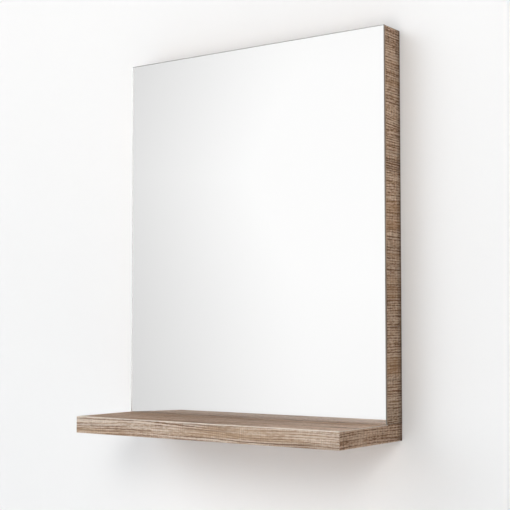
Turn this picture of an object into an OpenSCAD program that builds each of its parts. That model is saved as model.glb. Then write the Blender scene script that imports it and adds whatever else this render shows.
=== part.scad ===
// Wall mirror glued to a wooden box frame that stands on a thick shelf.
// +X is to the right seen from the front, +Y goes into the wall and +Z is up.
// The origin lies on the wall, midway between the entry holes of the two keyhole hangers.

/* [Mirror panel] */
// Width of the mirror, of its frame and of the shelf
panel_w = 600; // [450:10:900]
// Height of the mirror panel above the shelf
panel_h = 720; // [500:10:1000]
// Depth of the frame from the wall to the carrier board's face
frame_d = 55; // [50:1:80]

/* [Mirror] */
// Thickness of the mirror, glass and silvering together
mirror_t = 4; // [3:0.5:6]
// Thickness of the silvering with its protective paint
silver_t = 0.2; // [0.1:0.05:0.4]
// Bare margin between the silvering and the edge of the glass
silver_margin = 0.2; // [0.1:0.1:3]
// Ground bevel along the front edges of the glass
glass_bevel = 0.6; // [0.3:0.1:1]
// Gap between the lower edge of the glass and the shelf
glass_gap = 0.3; // [0.2:0.1:1.5]
// Thickness of the foam tape that holds the mirror
tape_t = 1; // [0.6:0.1:2]
// Width of one strip of tape
tape_w = 25; // [12:1:35]
// Number of strips of tape
tape_count = 6; // [4:1:8]
// Distance from the sides of the glass to the outer strips
tape_margin = 15; // [10:1:40]
// Distance from the upper and lower edges of the glass to the tape
tape_end = 20; // [10:1:60]

/* [Shelf] */
// Depth of the shelf from the wall to its front edge
shelf_d = 220; // [150:5:300]
// Thickness of the shelf
shelf_t = 32; // [25:1:50]
// Thickness of the shelf's edge bands
shelf_band_t = 2; // [1:0.5:3]
// Radius of the shelf's eased edges
shelf_edge_r = 1; // [0.5:0.1:2]

/* [Frame] */
// Thickness of the side, top and bottom panels
board_t = 16; // [15:1:19]
// Thickness of the frame's edge bands
band_t = 1; // [0.5:0.1:2]
// Radius of the frame's eased edges
edge_r = 0.8; // [0.3:0.1:1]
// Thickness of the carrier board behind the mirror
carrier_t = 8; // [6:1:10]
// Width of the rebate that takes the carrier board's edge
rebate_w = 8; // [6:0.5:9]
// Gap around the carrier board in its rebate
carrier_gap = 0.3; // [0.1:0.1:0.8]
// Thickness of the hanging rail and the lower rail
rail_t = 16; // [15:1:19]
// Height of the hanging rail
rail_h = 80; // [75:1:120]
// Height of the lower rail
lower_rail_h = 60; // [50:1:100]
// Width of the upright stiffener behind the carrier board
stiffener_w = 16; // [12:1:30]

/* [Hangers] */
// Distance from each side of the frame to its hanger
hanger_inset = 100; // [75:5:130]
// Gap between a hanger plate and the top panel
hanger_headroom = 9; // [2:1:20]
// Thickness of the hanger plates
plate_t = 2; // [1.5:0.5:3]
// Width of a hanger plate
plate_w = 36; // [24:1:50]
// Corner radius of a hanger plate
plate_corner_r = 4; // [1:0.5:6]
// Radius of the keyhole's entry hole
entry_r = 6; // [5:0.5:7]
// Half the width of the keyhole's slot
slot_r = 3; // [2.5:0.25:3.5]
// Height from the entry hole to the slot's end
slot_rise = 16; // [12:1:22]
// Distance from the keyhole to the centre of a fixing screw
plate_screw_gap = 8.5; // [7:0.5:12]
// Distance from a fixing screw's centre to the plate's end
plate_screw_edge = 7.5; // [6:0.5:10]
// Depth of the pocket behind a plate that takes a screw head
pocket_d = 9; // [7:0.5:11]
// How much wider than the entry hole the pocket is, all round
pocket_wider = 1.5; // [0.5:0.5:3]

/* [Dowels and screws] */
// Radius of the wooden dowels
dowel_r = 4; // [3:0.5:4]
// Depth that a dowel reaches into a side panel
dowel_in_side = 11; // [8:0.5:12]
// Depth that a dowel reaches into the end of a panel or rail
dowel_in_end = 19; // [12:1:25]
// Depth that a shelf dowel reaches into the bottom panel
dowel_in_bottom = 12; // [8:0.5:12]
// Depth that a shelf dowel reaches into the shelf
dowel_in_shelf = 18; // [12:1:20]
// Distance from the wall to the frame's corner dowels
corner_dowel_y = 12; // [9:0.5:14]
// Distance from a rail's edge to its dowels and screws
rail_edge = 14; // [10:1:18]
// Distance from a side panel to a shelf dowel
shelf_dowel_inset = 110; // [100:5:130]
// Distances from a side panel to the screws into the shelf
shelf_screw_insets = [70, 150];
// Length of the screws into the shelf
shelf_screw_l = 35; // [28:1:38]
// Radius of the screws into the shelf
shelf_screw_r = 2; // [1.5:0.25:2.5]
// Length of the screws through the rails into the stiffener
stiffener_screw_l = 35; // [25:1:38]
// Radius of the screws into the stiffener
stiffener_screw_r = 2; // [1.5:0.25:2.5]
// Length of the screws that hold the carrier board
carrier_screw_l = 16; // [14:1:20]
// Radius of the screws that hold the carrier board
carrier_screw_r = 1.25; // [1:0.25:1.5]
// Number of screws along each side of the carrier board
carrier_side_screws = 4; // [2:1:6]
// Number of screws along its upper and its lower edge
carrier_end_screws = 3; // [2:1:4]
// Distance from the frame's corners to the first carrier screw
carrier_screw_inset = 100; // [60:5:120]
// Length of the screws that hold the hanger plates
plate_screw_l = 12; // [10:1:15]
// Radius of the screws that hold the hanger plates
plate_screw_r = 1.75; // [1.5:0.25:2]
// Radius of the cam housings
cam_r = 7.5; // [6:0.5:8]
// Distance from a cam's centre to the side panel
cam_setback = 34; // [30:1:40]
// Thickness of board left beyond a cam
cam_skin = 3.7; // [3:0.1:5]
// Radius of a cam bolt's shank
bolt_r = 3; // [2.5:0.25:3.25]
// Radius of a cam bolt's thread
bolt_thread_r = 2.4; // [2:0.1:2.5]
// Depth of a cam bolt's thread in the side panel
bolt_thread_l = 10; // [8:0.5:12]

/* [Fits] */
// Gap around dowels, screws, cams and bolts in their holes
hole_fit = 0.1; // [0.05:0.05:0.2]
// Gap between the end of a dowel, screw or cam and its hole's end
end_fit = 0.5; // [0.2:0.1:0.8]

/* [Hidden] */
$fn = 48;

oak = [0.62, 0.53, 0.45];
oak_edge = [0.66, 0.56, 0.47];
fibreboard = [0.58, 0.47, 0.35];
pine = [0.80, 0.67, 0.48];
beech = [0.83, 0.70, 0.53];
zinc = [0.76, 0.77, 0.78];
foam = [0.22, 0.22, 0.23];
silver = [0.90, 0.91, 0.92];
float_glass = [0.80, 0.88, 0.86, 0.35];

// A cut runs this far past the face that it starts from.
cut = 1;
// Depth and width of a cross recess as shares of the screw's radius.
recess_depth = 0.7;
recess_width = 0.45;
// A countersunk head is this many times the shank's radius, with a 90 degree cone.
head_ratio = 2;
// Length of a screw's point as a multiple of its radius.
point_ratio = 2;
dowel_chamfer = 0.8;

half_w = panel_w / 2;
inner_x = half_w - board_t;
hanger_x = half_w - hanger_inset;
plate_up = slot_rise + slot_r + plate_screw_gap + plate_screw_edge;
plate_down = entry_r + plate_screw_gap + plate_screw_edge;

// Heights
panel_top = board_t + hanger_headroom + plate_up;
shelf_top = panel_top - panel_h;
shelf_bottom = shelf_top - shelf_t;
bay_top = panel_top - board_t;
bay_bottom = shelf_top + board_t;
rail_z = [bay_top - rail_h, bay_top];
lower_rail_z = [bay_bottom, bay_bottom + lower_rail_h];
carrier_z = [bay_bottom - rebate_w + carrier_gap, bay_top + rebate_w - carrier_gap];

// Depths: y runs from the room at negative values to the wall at zero
carrier_back = -(frame_d - carrier_t);
rail_back = -plate_t;
rail_front = rail_back - rail_t;
rail_mid = (rail_back + rail_front) / 2;
bay_y = (rail_front + carrier_back) / 2;
tape_front = -(frame_d + tape_t);
glass_back = tape_front - silver_t;
mirror_front = tape_front - mirror_t;

carrier_half = inner_x + rebate_w - carrier_gap;
ledge_x = inner_x + rebate_w / 2;
cam_h = board_t - cam_skin;
cam_x = inner_x - cam_setback;
shelf_dowel_x = inner_x - shelf_dowel_inset;
side_screw_z = [bay_bottom + carrier_screw_inset, bay_top - carrier_screw_inset];
end_screw_half = inner_x - carrier_screw_inset;
rail_fixing_z = [rail_z[0] + rail_edge, rail_z[1] - rail_edge,
                 lower_rail_z[0] + rail_edge, lower_rail_z[1] - rail_edge];
plate_screw_z = [-(entry_r + plate_screw_gap), slot_rise + slot_r + plate_screw_gap];
corner_z = [panel_top - board_t / 2, shelf_top + board_t / 2];

// ---- Shapes that repeat ----

// Solid between a low and a high corner
module block(lo, hi) {
    translate(lo) cube(hi - lo);
}

// Rectangle between two corners with round corners
module round_rect(lo, hi, r) {
    translate(lo + [r, 0]) square(hi - lo - [2 * r, 0]);
    translate(lo + [0, r]) square(hi - lo - [0, 2 * r]);
    for (x = [lo[0] + r, hi[0] - r], y = [lo[1] + r, hi[1] - r])
        translate([x, y]) circle(r);
}

// Solid between two corners with every edge eased
module eased_block(lo, hi, r) {
    intersection() {
        translate([0, 0, lo[2]])
            linear_extrude(hi[2] - lo[2]) round_rect([lo[0], lo[1]], [hi[0], hi[1]], r);
        translate([0, hi[1], 0]) rotate([90, 0, 0])
            linear_extrude(hi[1] - lo[1]) round_rect([lo[0], lo[2]], [hi[0], hi[2]], r);
        translate([lo[0], 0, 0]) rotate([90, 0, 90])
            linear_extrude(hi[0] - lo[0]) round_rect([lo[1], lo[2]], [hi[1], hi[2]], r);
    }
}

// The same thing on the right and on the left
module both_sides() {
    children();
    mirror([1, 0, 0]) children();
}

// Bore or pin along X from x0 to x1
module rod_x(x0, x1, y, z, r) {
    translate([x0, y, z]) rotate([0, 90, 0]) cylinder(h = x1 - x0, r = r);
}

// Countersunk screw down from z = 0, with a cross recess in its head
module screw(l, r) {
    head_r = r * head_ratio;
    head_h = head_r - r;
    point = r * point_ratio;
    difference() {
        union() {
            translate([0, 0, -head_h]) cylinder(h = head_h, r1 = r, r2 = head_r);
            translate([0, 0, point - l]) cylinder(h = l - point - head_h, r = r);
            translate([0, 0, -l]) cylinder(h = point, r1 = r / 4, r2 = r);
        }
        cross_recess(r);
    }
}

// Cross cut down into a head of a screw or cam whose face lies at z = 0
module cross_recess(r) {
    arm = r * head_ratio * 0.6;
    wide = r * recess_width;
    for (turn = [0, 90])
        rotate([0, 0, turn])
            block([-arm, -wide / 2, -r * recess_depth], [arm, wide / 2, cut]);
}

// Hole for such a screw
module screw_hole(l, r) {
    head_r = r * head_ratio;
    head_h = head_r - r;
    translate([0, 0, -head_h]) cylinder(h = head_h, r1 = r + hole_fit, r2 = head_r + hole_fit);
    translate([0, 0, -(l + end_fit)]) cylinder(h = l + end_fit, r = r + hole_fit);
    cylinder(h = cut, r = head_r + hole_fit);
}

// Dowel from x0 to x1 with chamfered ends
module dowel_x(x0, x1, y, z) {
    translate([x0, y, z]) rotate([0, 90, 0]) dowel(x1 - x0);
}

module dowel(l) {
    tip_r = dowel_r - dowel_chamfer;
    cylinder(h = dowel_chamfer, r1 = tip_r, r2 = dowel_r);
    translate([0, 0, dowel_chamfer]) cylinder(h = l - 2 * dowel_chamfer, r = dowel_r);
    translate([0, 0, l - dowel_chamfer]) cylinder(h = dowel_chamfer, r1 = dowel_r, r2 = tip_r);
}

// Keyhole seen from behind the wall: a round entry with a slot above it
module keyhole(entry, slot) {
    circle(entry);
    translate([0, slot_rise]) circle(slot);
    translate([-slot, 0]) square([2 * slot, slot_rise]);
}

// Places of the carrier board's screws, with the screw's head towards the room
module at_carrier_screws() {
    side_step = (side_screw_z[1] - side_screw_z[0]) / (carrier_side_screws - 1);
    end_step = 2 * end_screw_half / (carrier_end_screws - 1);
    for (i = [0 : carrier_side_screws - 1], side = [-1, 1])
        translate([side * ledge_x, -frame_d, side_screw_z[0] + i * side_step])
            rotate([90, 0, 0]) children();
    for (i = [0 : carrier_end_screws - 1],
         z = [bay_top + rebate_w / 2, bay_bottom - rebate_w / 2])
        translate([i * end_step - end_screw_half, -frame_d, z]) rotate([90, 0, 0]) children();
}

// Places of the screws through the rails into the stiffener, with the head towards the wall
module at_stiffener_screws() {
    for (z = rail_fixing_z)
        translate([0, rail_back, z]) rotate([-90, 0, 0]) children();
}

// Places of a hanger's two fixing screws, with the head towards the wall
module at_plate_screws(side) {
    for (z = plate_screw_z)
        translate([side * hanger_x, 0, z]) rotate([-90, 0, 0]) children();
}

// Places of the screws down into the shelf
module at_shelf_screws() {
    for (inset = shelf_screw_insets, side = [-1, 1])
        translate([side * (inner_x - inset), bay_y, bay_bottom]) children();
}

// ---- Frame ----

// Right side with its bands: a board with a stopped rebate for the carrier board
module side_blank() {
    stop = board_t - rebate_w;
    difference() {
        eased_block([inner_x, -frame_d, shelf_top], [half_w, 0, panel_top], edge_r);
        block([inner_x - cut, -(frame_d + cut), shelf_top + stop],
              [inner_x + rebate_w, carrier_back, panel_top - stop]);
    }
}

module side_panel() {
    difference() {
        intersection() {
            side_blank();
            block([inner_x, -(frame_d - band_t), shelf_top], [half_w, -band_t, panel_top - band_t]);
        }
        for (z = rail_fixing_z)
            rod_x(inner_x - cut, inner_x + dowel_in_side + end_fit, rail_mid, z, dowel_r + hole_fit);
        for (z = corner_z) {
            rod_x(inner_x - cut, inner_x + dowel_in_side + end_fit, -corner_dowel_y, z,
                  dowel_r + hole_fit);
            rod_x(inner_x - cut, inner_x + bolt_thread_l + end_fit, bay_y, z,
                  bolt_thread_r + hole_fit);
        }
        at_carrier_screws() screw_hole(carrier_screw_l, carrier_screw_r);
    }
}

module side_panel_left() {
    color(oak) mirror([1, 0, 0]) side_panel();
}

module side_panel_right() {
    color(oak) side_panel();
}

module side_front_bands() {
    color(oak_edge) both_sides() intersection() {
        side_blank();
        block([inner_x, -frame_d, shelf_top], [half_w, -(frame_d - band_t), panel_top]);
    }
}

module side_rear_bands() {
    color(oak_edge) both_sides() intersection() {
        side_blank();
        block([inner_x, -band_t, shelf_top], [half_w, 0, panel_top]);
    }
}

module side_top_bands() {
    color(oak_edge) both_sides() intersection() {
        side_blank();
        block([inner_x, -(frame_d - band_t), panel_top - band_t], [half_w, -band_t, panel_top]);
    }
}

// Holes for a cam, its bolt and the corner dowel at the right end of the top or bottom panel.
// The cam goes in from the bay: face is the panel's bay face and way points into the board.
module corner_holes(face, way, z) {
    translate([cam_x, bay_y, way > 0 ? face - cut : face - cam_h - end_fit])
        cylinder(h = cam_h + end_fit + cut, r = cam_r + hole_fit);
    rod_x(cam_x, inner_x + cut, bay_y, z, bolt_r + hole_fit);
    rod_x(inner_x - dowel_in_end - end_fit, inner_x + cut, -corner_dowel_y, z, dowel_r + hole_fit);
}

module top_panel() {
    color(oak) difference() {
        block([-inner_x, -frame_d, bay_top], [inner_x, -band_t, panel_top]);
        block([-inner_x - cut, -frame_d - cut, bay_top - cut],
              [inner_x + cut, carrier_back, bay_top + rebate_w]);
        both_sides() corner_holes(bay_top, 1, corner_z[0]);
        at_carrier_screws() screw_hole(carrier_screw_l, carrier_screw_r);
    }
}

module bottom_panel() {
    color(oak) difference() {
        block([-inner_x, -frame_d, shelf_top], [inner_x, -band_t, bay_bottom]);
        block([-inner_x - cut, -frame_d - cut, bay_bottom - rebate_w],
              [inner_x + cut, carrier_back, bay_bottom + cut]);
        both_sides() corner_holes(bay_bottom, -1, corner_z[1]);
        at_carrier_screws() screw_hole(carrier_screw_l, carrier_screw_r);
        at_shelf_screws() screw_hole(shelf_screw_l, shelf_screw_r);
        both_sides() translate([shelf_dowel_x, bay_y, shelf_top - cut])
            cylinder(h = dowel_in_bottom + end_fit + cut, r = dowel_r + hole_fit);
    }
}

module panel_rear_bands() {
    color(oak_edge) for (z = [shelf_top, bay_top])
        block([-inner_x, -band_t, z], [inner_x, 0, z + board_t]);
}

// Rail between the side panels, with dowel holes in its ends
module rail(z0, z1) {
    difference() {
        block([-inner_x, rail_front, z0], [inner_x, rail_back, z1]);
        both_sides() for (z = [z0 + rail_edge, z1 - rail_edge])
            rod_x(inner_x - dowel_in_end - end_fit, inner_x + cut, rail_mid, z,
                  dowel_r + hole_fit);
        at_stiffener_screws() screw_hole(stiffener_screw_l, stiffener_screw_r);
    }
}

module hanging_rail() {
    pocket_r = entry_r + pocket_wider;
    color(pine) difference() {
        rail(rail_z[0], rail_z[1]);
        for (side = [-1, 1]) {
            translate([side * hanger_x, rail_back + cut, 0]) rotate([90, 0, 0])
                linear_extrude(pocket_d + cut) keyhole(pocket_r, pocket_r);
            at_plate_screws(side) screw_hole(plate_screw_l, plate_screw_r);
        }
    }
}

module lower_rail() {
    color(pine) rail(lower_rail_z[0], lower_rail_z[1]);
}

module centre_stiffener() {
    color(pine) difference() {
        block([-stiffener_w / 2, carrier_back, bay_bottom], [stiffener_w / 2, rail_front, bay_top]);
        at_stiffener_screws() screw_hole(stiffener_screw_l, stiffener_screw_r);
    }
}

module carrier_board() {
    color(fibreboard) difference() {
        block([-carrier_half, -frame_d, carrier_z[0]], [carrier_half, carrier_back, carrier_z[1]]);
        at_carrier_screws() screw_hole(carrier_screw_l, carrier_screw_r);
    }
}

// ---- Mirror ----

module mounting_tape() {
    first = tape_margin - half_w;
    step = (panel_w - 2 * tape_margin - tape_w) / (tape_count - 1);
    color(foam) for (i = [0 : tape_count - 1])
        block([first + i * step, tape_front, shelf_top + tape_end],
              [first + i * step + tape_w, -frame_d, panel_top - tape_end]);
}

module mirror_silvering() {
    color(silver)
        block([silver_margin - half_w, glass_back, shelf_top + glass_gap + silver_margin],
              [half_w - silver_margin, tape_front, panel_top - silver_margin]);
}

module mirror_glass() {
    color(float_glass) difference() {
        block([-half_w, mirror_front, shelf_top + glass_gap], [half_w, glass_back, panel_top]);
        for (x = [-half_w, half_w])
            bevel_cut([x, mirror_front, shelf_top], 0, panel_h);
        for (z = [shelf_top + glass_gap, panel_top])
            bevel_cut([-half_w, mirror_front, z], 90, panel_w);
    }
}

// Square prism on its edge that takes the bevel off one edge of the glass, upright or lying
module bevel_cut(start, lean, l) {
    side = glass_bevel * sqrt(2);
    translate(start) rotate([0, lean, 0]) rotate([0, 0, 45])
        translate([-side / 2, -side / 2, -cut]) cube([side, side, l + 2 * cut]);
}

// ---- Shelf ----

// The whole shelf with its bands
module shelf_blank() {
    eased_block([-half_w, -shelf_d, shelf_bottom], [half_w, 0, shelf_top], shelf_edge_r);
}

// Slice of the whole shelf between two corners, through its full thickness
module shelf_slice(lo, hi) {
    intersection() {
        shelf_blank();
        block([lo[0], lo[1], shelf_bottom], [hi[0], hi[1], shelf_top]);
    }
}

module shelf_board() {
    core_x = half_w - shelf_band_t;
    color(oak) difference() {
        block([-core_x, -(shelf_d - shelf_band_t), shelf_bottom],
              [core_x, -shelf_band_t, shelf_top]);
        at_shelf_screws() screw_hole(shelf_screw_l, shelf_screw_r);
        both_sides() translate([shelf_dowel_x, bay_y, shelf_top - dowel_in_shelf - end_fit])
            cylinder(h = dowel_in_shelf + end_fit + cut, r = dowel_r + hole_fit);
    }
}

module shelf_front_band() {
    color(oak_edge) shelf_slice([-half_w, -shelf_d], [half_w, -(shelf_d - shelf_band_t)]);
}

module shelf_rear_band() {
    color(oak_edge) shelf_slice([-half_w, -shelf_band_t], [half_w, 0]);
}

module shelf_right_band() {
    color(oak_edge)
        shelf_slice([half_w - shelf_band_t, -(shelf_d - shelf_band_t)], [half_w, -shelf_band_t]);
}

module shelf_left_band() {
    color(oak_edge) mirror([1, 0, 0])
        shelf_slice([half_w - shelf_band_t, -(shelf_d - shelf_band_t)], [half_w, -shelf_band_t]);
}

// ---- Hangers ----

module hanger_plate(side) {
    color(zinc) difference() {
        translate([side * hanger_x, 0, 0]) rotate([90, 0, 0]) linear_extrude(plate_t)
            difference() {
                round_rect([-plate_w / 2, -plate_down], [plate_w / 2, plate_up], plate_corner_r);
                keyhole(entry_r, slot_r);
            }
        at_plate_screws(side) screw_hole(plate_screw_l, plate_screw_r);
    }
}

module hanger_plate_left() {
    hanger_plate(-1);
}

module hanger_plate_right() {
    hanger_plate(1);
}

module hanger_screws() {
    color(zinc) for (side = [-1, 1])
        at_plate_screws(side) screw(plate_screw_l, plate_screw_r);
}

// ---- Dowels, cams and screws ----

module corner_dowels() {
    color(beech) both_sides() for (z = corner_z)
        dowel_x(inner_x - dowel_in_end, inner_x + dowel_in_side, -corner_dowel_y, z);
}

module rail_dowels() {
    color(beech) both_sides() for (z = rail_fixing_z)
        dowel_x(inner_x - dowel_in_end, inner_x + dowel_in_side, rail_mid, z);
}

module shelf_dowels() {
    color(beech) both_sides() translate([shelf_dowel_x, bay_y, shelf_top - dowel_in_shelf])
        dowel(dowel_in_shelf + dowel_in_bottom);
}

// Cam with its face at z = 0 and its body above, bored for the bolt that comes from the right
module cam(bolt_height) {
    difference() {
        cylinder(h = cam_h, r = cam_r);
        rod_x(-bolt_r - hole_fit, cam_r + cut, 0, bolt_height, bolt_r + hole_fit);
        rotate([180, 0, 0]) cross_recess(bolt_r);
    }
}

module cam_housings() {
    color(zinc) both_sides() {
        translate([cam_x, bay_y, bay_top]) cam(board_t / 2);
        translate([cam_x, bay_y, bay_bottom]) mirror([0, 0, 1]) cam(board_t / 2);
    }
}

// Shank from the cam's centre to the side panel, then the thread in the side panel
module cam_bolts() {
    color(zinc) both_sides() for (z = corner_z) {
        rod_x(cam_x - bolt_r, inner_x, bay_y, z, bolt_r);
        rod_x(inner_x, inner_x + bolt_thread_l, bay_y, z, bolt_thread_r);
    }
}

module stiffener_screws() {
    color(zinc) at_stiffener_screws() screw(stiffener_screw_l, stiffener_screw_r);
}

module carrier_screws() {
    color(zinc) at_carrier_screws() screw(carrier_screw_l, carrier_screw_r);
}

module shelf_screws() {
    color(zinc) at_shelf_screws() screw(shelf_screw_l, shelf_screw_r);
}

side_panel_left();
side_panel_right();
top_panel();
bottom_panel();
hanging_rail();
lower_rail();
centre_stiffener();
carrier_board();
side_front_bands();
side_rear_bands();
side_top_bands();
panel_rear_bands();
mounting_tape();
mirror_silvering();
mirror_glass();
shelf_board();
shelf_front_band();
shelf_left_band();
shelf_right_band();
shelf_rear_band();
hanger_plate_left();
hanger_plate_right();
hanger_screws();
corner_dowels();
cam_housings();
cam_bolts();
rail_dowels();
stiffener_screws();
carrier_screws();
shelf_dowels();
shelf_screws();
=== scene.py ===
"""Dresses a wall mirror on a wooden box frame that stands on a thick shelf.

Lengths are in metres. +X is to the right seen from the front, +Y goes into the wall and +Z is up.
"""

import math

import bmesh
import bpy
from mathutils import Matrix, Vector


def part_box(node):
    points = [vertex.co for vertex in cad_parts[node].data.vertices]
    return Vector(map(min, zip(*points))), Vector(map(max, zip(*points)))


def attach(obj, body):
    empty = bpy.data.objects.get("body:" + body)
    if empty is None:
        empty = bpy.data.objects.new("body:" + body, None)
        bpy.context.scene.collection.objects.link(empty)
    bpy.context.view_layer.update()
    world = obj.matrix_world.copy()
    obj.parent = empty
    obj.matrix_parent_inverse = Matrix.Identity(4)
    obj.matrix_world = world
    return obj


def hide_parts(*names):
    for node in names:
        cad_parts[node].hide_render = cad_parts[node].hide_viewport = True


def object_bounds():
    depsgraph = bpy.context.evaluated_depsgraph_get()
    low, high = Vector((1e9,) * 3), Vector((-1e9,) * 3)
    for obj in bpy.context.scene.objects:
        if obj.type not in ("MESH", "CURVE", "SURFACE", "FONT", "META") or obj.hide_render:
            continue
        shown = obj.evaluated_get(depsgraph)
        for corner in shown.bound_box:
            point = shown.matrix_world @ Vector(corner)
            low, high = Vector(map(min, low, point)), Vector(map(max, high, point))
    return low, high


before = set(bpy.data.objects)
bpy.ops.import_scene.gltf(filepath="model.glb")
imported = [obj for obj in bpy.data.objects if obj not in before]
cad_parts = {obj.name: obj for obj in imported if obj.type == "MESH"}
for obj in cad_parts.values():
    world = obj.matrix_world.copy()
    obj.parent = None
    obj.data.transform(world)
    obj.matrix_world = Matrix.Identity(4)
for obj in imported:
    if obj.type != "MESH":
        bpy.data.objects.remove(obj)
cad_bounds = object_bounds()

bl_info = {
    "name": "Mirror with shelf",
    "version": (1, 0, 0),
    "blender": (4, 5, 0),
    "location": "3D View > Sidebar > Mirror",
    "description": "Finishes a wall mirror with a thick shelf in grey-brown oak decor",
    "category": "Object",
}


def screen(red, green, blue):
    """Linear colour that shows as these 8-bit screen values."""
    shares = [value / 255 for value in (red, green, blue)]
    return tuple(
        share / 12.92 if share < 0.04045 else ((share + 0.055) / 1.055) ** 2.4 for share in shares
    )


def opaque(colour):
    """The same colour with full alpha, as a colour socket takes it."""
    return (*colour, 1.0)


# ---- Settings ----


def colour_setting(name, description, default):
    """Colour that the user can change."""
    return bpy.props.FloatVectorProperty(
        name=name, description=description, subtype="COLOR", size=3, min=0, max=1, default=default
    )


def length_setting(name, description, default):
    """Length that the user can change."""
    return bpy.props.FloatProperty(
        name=name, description=description, unit="LENGTH", min=0, precision=5, default=default
    )


def share_setting(name, description, default, high=1.0):
    """Share or strength that the user can change."""
    return bpy.props.FloatProperty(
        name=name, description=description, subtype="FACTOR", min=0, max=high, default=default
    )


class OakSettings(bpy.types.PropertyGroup):
    """Decor of the frame and the shelf."""

    pale: colour_setting("Pale wood", "Lightest streaks of the oak", screen(208, 190, 173))
    middle: colour_setting("Middle wood", "Common tone of the oak", screen(176, 151, 131))
    dark: colour_setting("Dark wood", "Darkest streaks of the oak", screen(122, 94, 74))
    vein: colour_setting("Veins", "Long dark veins that run with the grain", screen(98, 72, 56))
    warm: colour_setting("Warm patches", "Yellow-brown areas of the oak", screen(174, 143, 113))
    # Pale line along the eased edges: partly wear, partly a painted highlight.
    edge_wear_and_highlight: colour_setting("Worn and highlit edges", "Tone of the eased edges", screen(246, 236, 225))
    edge_line_width: length_setting("Edge line width", "Width of the rubbed line along an edge", 0.0019)
    edge_line_stop: length_setting("Edge line stop", "How far in behind the mirror the wear dies out", 0.004)
    # Painted shade on the oak: darker near the wall, with a dark line and a darker lower part at a
    # side's foot.
    painted_wall_shade: share_setting("Painted shade", "How much darker the sides get at the wall", 0.6)
    wall_reach: length_setting("Painted shade reach", "How far from the wall that begins", 0.022)
    foot_width: length_setting("Foot width", "Height of the dark line at a side's foot", 0.003)
    contrast: share_setting("Contrast", "How far streaks leave the middle tone", 1.0)
    saw_marks: share_setting("Saw marks", "Strength of the marks across the grain", 0.6)
    side_saw_marks: share_setting("Side saw marks", "The same on sides and shelf ends", 1.2, 3)
    saw_pitch: length_setting("Saw pitch", "Distance between the saw marks", 0.0046)
    side_saw_pitch: length_setting("Side saw pitch", "The same on sides and shelf ends", 0.0095)
    flecks: share_setting("Flecks", "Strength of the short flecks", 0.24)
    side_flecks: share_setting("Side flecks", "The same on sides and shelf ends", 0.38)
    pores: share_setting("Pores", "Strength of the fine dark pores", 0.5)
    roughness: share_setting("Roughness", "Mean roughness of the satin decor", 0.52)
    gloss: share_setting("Gloss", "Specular level of the satin decor", 0.12)
    relief: length_setting("Relief", "Depth of the embossed grain", 0.00012)


class MirrorSettings(bpy.types.PropertyGroup):
    """Glass and silvering."""

    arris: length_setting("Arris", "Width of the ground front arris", 0.0004)
    back_arris: length_setting("Back arris", "Width of the ground back arris", 0.0002)
    seat: length_setting("Seat", "How far the glass sinks towards the shelf", 0.00025)
    bond: length_setting("Bond", "How far the glass reaches round the silver's face", 0.00005)
    silver: colour_setting("Silver", "Reflection of the silver layer", (0.995, 0.993, 0.992))
    rim: colour_setting("Worn rim", "Tone of the silver's worn rim", (0.6, 0.61, 0.61))
    rim_width: length_setting("Rim width", "Width of that rim", 0.0004)
    rim_wear: share_setting("Rim wear", "Share of its tone that shows", 0.3)
    glass: colour_setting("Glass", "Tint of the clear glass", (0.997, 1.0, 0.999))
    edge: colour_setting("Ground edge", "Ground glass edge seen from outside", (0.24, 0.212, 0.18))
    # Painted light: the lower glass edge has a bright wood tone, which stands in for light and wood
    # seen through the glass.
    foot: colour_setting("Foot", "Lower glass edge, which stands on the wood", (0.7, 0.57, 0.48))
    polish: colour_setting("Polished edge", "Clear left and upper edges", (0.97, 0.975, 0.97))
    foot_bow: share_setting("Bow at the foot", "Slope of the slightly bowed sheet there", 0.0095)
    bow_reach: length_setting("Bow reach", "How far above the foot the sheet is flat", 0.3)


class FittingSettings(bpy.types.PropertyGroup):
    """Rails, board, tape and metalwork behind the mirror."""

    softwood: colour_setting("Softwood", "Early wood of the rails", screen(222, 192, 148))
    late_wood: colour_setting("Late wood", "Growth rings of the rails", screen(184, 134, 84))
    fibreboard: colour_setting("Fibreboard", "Carrier board", screen(150, 121, 92))
    beech: colour_setting("Beech", "Dowels", screen(214, 176, 132))
    zinc: colour_setting("Zinc", "Plating of the plates and screws", (0.72, 0.73, 0.75))
    cast: colour_setting("Cast zinc", "Cam housings", (0.62, 0.62, 0.63))
    foam: colour_setting("Foam", "Tape behind the glass", (0.030, 0.030, 0.033))


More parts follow.
